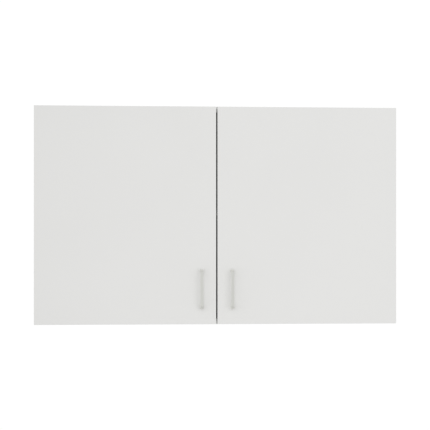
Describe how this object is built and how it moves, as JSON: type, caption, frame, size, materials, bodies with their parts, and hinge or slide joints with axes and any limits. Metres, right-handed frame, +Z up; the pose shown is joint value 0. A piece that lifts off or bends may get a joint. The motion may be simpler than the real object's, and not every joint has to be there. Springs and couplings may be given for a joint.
{
  "type": "hanging wall cabinet",
  "caption": "Wide two-door hanging wall cabinet in plain white coated board, with slim upright bow handles low at the middle, one inner shelf and concealed hinges.",
  "frame": {"origin": "in the wall plane, midway between the two wall plates, at the height of the edges that the hooks bear on", "axes": "+X to the right seen from the front, +Y into the wall, +Z up; the doors look along -Y"},
  "size_m": [1, 0.364, 0.6],
  "materials": {
    "white_board": "white melamine-coated particle board, fine pearl texture, edges banded to match",
    "white_hardboard": "thin hardboard, lacquered white inside, raw brown behind",
    "plated_steel": "nickel-plated pressed steel, bright",
    "zinc_steel": "zinc-plated pressed steel, soft sheen",
    "cast_zinc": "plain die-cast zinc alloy, dull grey",
    "satin_metal": "satin metal, pale warm grey, no strong reflections",
    "clear_bumper": "clear soft bumper, slightly domed"
  },
  "bodies": {
    "carcass": {"left_side_panel": "white_board", "right_side_panel": "white_board", "top_panel": "white_board", "bottom_panel": "white_board", "shelf": "white_board", "back_panel": "white_hardboard", "shelf_pin_left_front": "plated_steel", "shelf_pin_left_rear": "plated_steel", "cam_lock_top_left_front": "cast_zinc", "cam_lock_top_left_rear": "cast_zinc", "cam_lock_bottom_left_front": "cast_zinc", "cam_lock_bottom_left_rear": "cast_zinc", "hanger_bracket_left": "zinc_steel", "hanger_hook_left": "zinc_steel", "wall_plate_left": "zinc_steel", "hinge_plate_left_upper": "plated_steel", "hinge_arm_left_upper": "plated_steel", "hinge_plate_left_lower": "plated_steel", "hinge_arm_left_lower": "plated_steel", "shelf_pin_right_front": "plated_steel", "shelf_pin_right_rear": "plated_steel", "cam_lock_top_right_front": "cast_zinc", "cam_lock_top_right_rear": "cast_zinc", "cam_lock_bottom_right_front": "cast_zinc", "cam_lock_bottom_right_rear": "cast_zinc", "hanger_bracket_right": "zinc_steel", "hanger_hook_right": "zinc_steel", "wall_plate_right": "zinc_steel", "hinge_plate_right_upper": "plated_steel", "hinge_arm_right_upper": "plated_steel", "hinge_plate_right_lower": "plated_steel", "hinge_arm_right_lower": "plated_steel"},
    "left_short_links": {"hinge_short_link_left_upper": "plated_steel", "hinge_short_link_left_lower": "plated_steel"},
    "left_long_links": {"hinge_long_link_left_upper": "plated_steel", "hinge_long_link_left_lower": "plated_steel"},
    "left_door": {"left_door": "white_board", "handle_left": "satin_metal", "handle_screw_left_upper": "plated_steel", "hinge_cup_left_upper": "plated_steel", "bumper_left_upper": "clear_bumper", "handle_screw_left_lower": "plated_steel", "hinge_cup_left_lower": "plated_steel", "bumper_left_lower": "clear_bumper"},
    "right_short_links": {"hinge_short_link_right_upper": "plated_steel", "hinge_short_link_right_lower": "plated_steel"},
    "right_long_links": {"hinge_long_link_right_upper": "plated_steel", "hinge_long_link_right_lower": "plated_steel"},
    "right_door": {"right_door": "white_board", "handle_right": "satin_metal", "handle_screw_right_upper": "plated_steel", "hinge_cup_right_upper": "plated_steel", "bumper_right_upper": "clear_bumper", "handle_screw_right_lower": "plated_steel", "hinge_cup_right_lower": "plated_steel", "bumper_right_lower": "clear_bumper"}
  },
  "joints": [
    {"name": "left_short_link_turn", "type": "hinge", "parent": "carcass", "child": "left_short_links", "pos_m": [-0.46775, -0.3225, -0.255], "axis": [0, 0, 1], "range_deg": [0, 19.2]},
    {"name": "left_door_swing", "type": "hinge", "parent": "left_short_links", "child": "left_door", "pos_m": [-0.489, -0.3295, -0.255], "axis": [0, 0, -1], "range_deg": [0, 114]},
    {"name": "left_long_link_turn", "type": "hinge", "parent": "carcass", "child": "left_long_links", "pos_m": [-0.462, -0.317, -0.255], "axis": [0, 0, 1], "range_deg": [0, 30]},
    {"name": "right_short_link_turn", "type": "hinge", "parent": "carcass", "child": "right_short_links", "pos_m": [0.46775, -0.3225, -0.255], "axis": [0, 0, -1], "range_deg": [0, 19.2]},
    {"name": "right_door_swing", "type": "hinge", "parent": "right_short_links", "child": "right_door", "pos_m": [0.489, -0.3295, -0.255], "axis": [0, 0, 1], "range_deg": [0, 114]},
    {"name": "right_long_link_turn", "type": "hinge", "parent": "carcass", "child": "right_long_links", "pos_m": [0.462, -0.317, -0.255], "axis": [0, 0, -1], "range_deg": [0, 30]}
  ],
  "couplings": [
    {"joint": "left_short_link_turn", "follows": "left_door_swing", "ratio": 0.16667},
    {"joint": "left_long_link_turn", "follows": "left_door_swing", "ratio": 0.2625},
    {"joint": "right_short_link_turn", "follows": "right_door_swing", "ratio": 0.16667},
    {"joint": "right_long_link_turn", "follows": "right_door_swing", "ratio": 0.2625}
  ]
}
